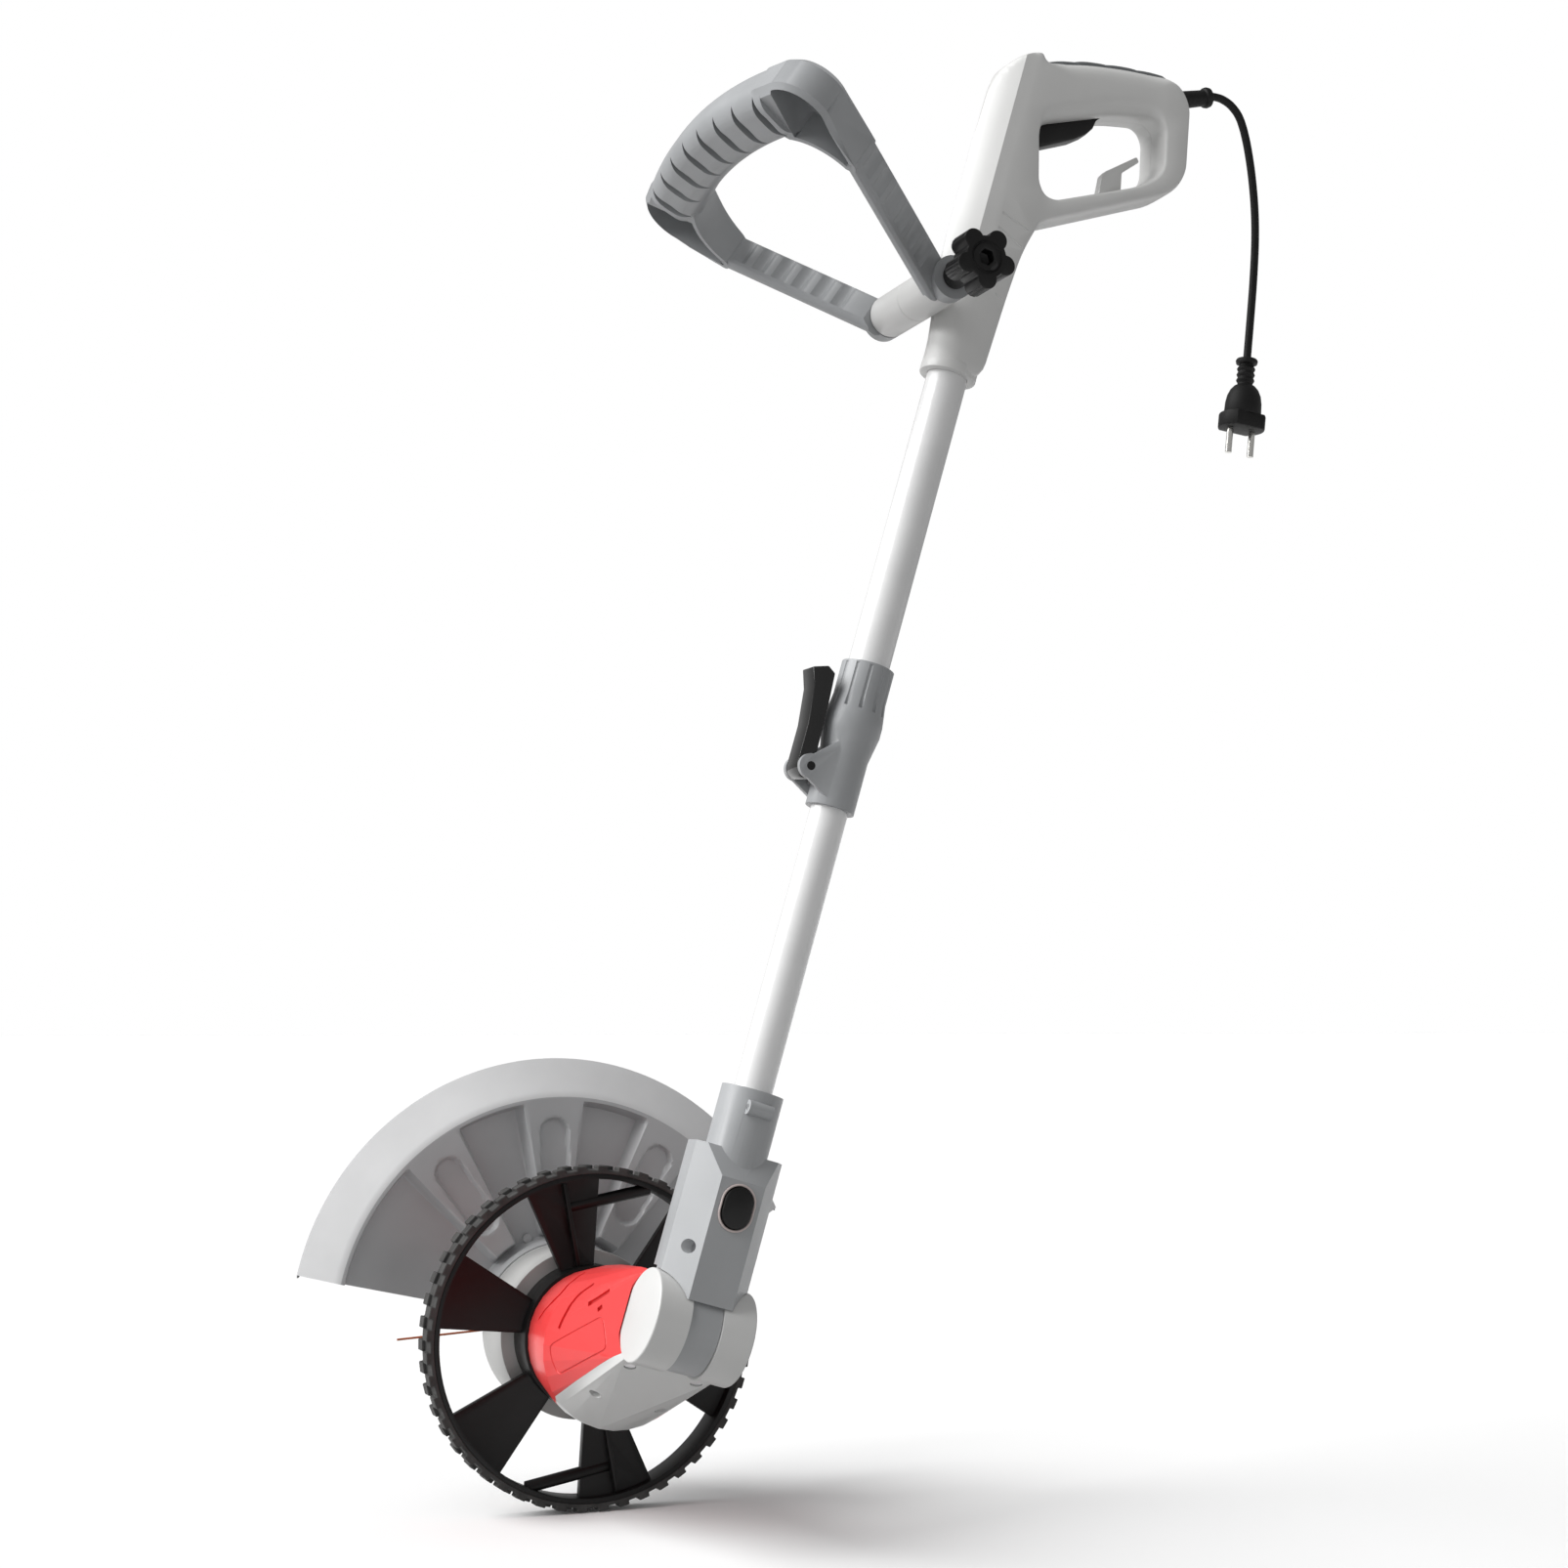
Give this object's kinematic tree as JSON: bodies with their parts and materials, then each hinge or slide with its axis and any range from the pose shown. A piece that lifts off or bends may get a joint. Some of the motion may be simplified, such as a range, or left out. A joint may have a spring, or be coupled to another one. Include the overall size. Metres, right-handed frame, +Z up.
{
  "type": "wheeled string trimmer",
  "caption": "Electric string trimmer with an edging wheel round a tilting motor head, spray guard, telescopic tube, swinging front loop handle and closed rear grip.",
  "frame": {"origin": "middle of the closed rear grip, where the hand holds the tool", "axes": "+Z up, tool leaning back over +X as pictured; +Y away from the viewer, to the cutting side; +X to the mains lead"},
  "size_m": [0.6634, 0.4497, 1.0587],
  "materials": {
    "shell_white": "fine satin",
    "tube_white": "smooth paint",
    "grey_plastic": "fine satin",
    "guard_grey": "fine satin",
    "pot_grey": "satin",
    "soft_grey": "matt",
    "cover_red": "gloss",
    "black_plastic": "satin",
    "tyre_black": "matt",
    "cord_black": "satin",
    "steel": "brushed",
    "pin_metal": "polished",
    "copper": "wound",
    "line_orange": "translucent"
  },
  "bodies": {
    "handle": {"handle_left": "shell_white", "handle_right": "shell_white", "handle_screws": "steel", "grip_inlay": "soft_grey", "switch_block": "black_plastic", "cord_hook": "shell_white", "upper_tube": "tube_white", "clamp_body": "grey_plastic", "clamp_pin": "steel", "clamp_shoe": "grey_plastic", "strain_relief": "cord_black", "mains_cord": "cord_black", "plug_body": "cord_black", "plug_pins": "pin_metal"},
    "pull_trigger": {"trigger": "black_plastic"},
    "quick_lever": {"clamp_lever": "black_plastic"},
    "lower_shaft": {"lower_tube": "tube_white", "yoke_left": "grey_plastic", "yoke_right": "grey_plastic", "yoke_screws": "steel", "button_bezel": "grey_plastic"},
    "lock_button": {"tilt_button": "black_plastic"},
    "head": {"hinge_pin": "steel", "motor_housing": "shell_white", "motor_cover": "cover_red", "motor_pot": "pot_grey", "stator": "copper", "bearing_bridge": "black_plastic", "bearing_upper": "steel", "bearing_lower": "steel", "housing_screws": "steel", "guard": "guard_grey", "guard_screws": "steel", "line_cutter": "steel"},
    "edging_wheel": {"wheel": "black_plastic", "tyre": "tyre_black"},
    "line_head": {"motor_shaft": "steel", "rotor": "copper", "fan": "black_plastic", "spool_housing": "black_plastic", "line_spool": "black_plastic", "cutting_lines": "line_orange"},
    "bump": {"bump_knob": "grey_plastic"},
    "front_loop": {"front_handle": "grey_plastic"},
    "knob": {"star_knob": "black_plastic", "pivot_bolt": "steel"}
  },
  "joints": [
    {"name": "trigger_pull", "type": "slide", "parent": "handle", "child": "pull_trigger", "axis": [0, 0, 1], "range_m": [0, 0.005], "stiffness_N_per_m": 600, "springref_m": -0.002},
    {"name": "lever_flip", "type": "hinge", "parent": "handle", "child": "quick_lever", "pos_m": [-0.24202, 0, -0.51221], "axis": [0, -1, 0], "range_deg": [0, 100]},
    {"name": "shaft_slide", "type": "slide", "parent": "handle", "child": "lower_shaft", "axis": [0.2823, 0, 0.9593], "range_m": [0, 0.17]},
    {"name": "button_press", "type": "slide", "parent": "lower_shaft", "child": "lock_button", "axis": [0, 1, 0], "range_m": [0, 0.004], "stiffness_N_per_m": 500, "springref_m": -0.002},
    {"name": "head_tilt", "type": "hinge", "parent": "lower_shaft", "child": "head", "pos_m": [-0.32482, 0, -0.88917], "axis": [-0.9593, 0, 0.2823], "range_deg": [0, 60]},
    {"name": "wheel_spin", "type": "hinge", "parent": "head", "child": "edging_wheel", "pos_m": [-0.33273, 0.192, -0.91603], "axis": [0, 1, 0], "continuous": true},
    {"name": "line_spin", "type": "hinge", "parent": "head", "child": "line_head", "pos_m": [-0.33273, 0.192, -0.91603], "axis": [0, 1, 0], "continuous": true},
    {"name": "bump_press", "type": "slide", "parent": "line_head", "child": "bump", "axis": [0, -1, 0], "range_m": [0, 0.004], "stiffness_N_per_m": 800, "springref_m": -0.002},
    {"name": "loop_swing", "type": "hinge", "parent": "handle", "child": "front_loop", "pos_m": [-0.15347, 0, -0.17238], "axis": [0, 1, 0], "range_deg": [-50, 45]},
    {"name": "knob_turn", "type": "hinge", "parent": "front_loop", "child": "knob", "pos_m": [-0.15347, 0, -0.17238], "axis": [0, 1, 0], "continuous": true}
  ]
}
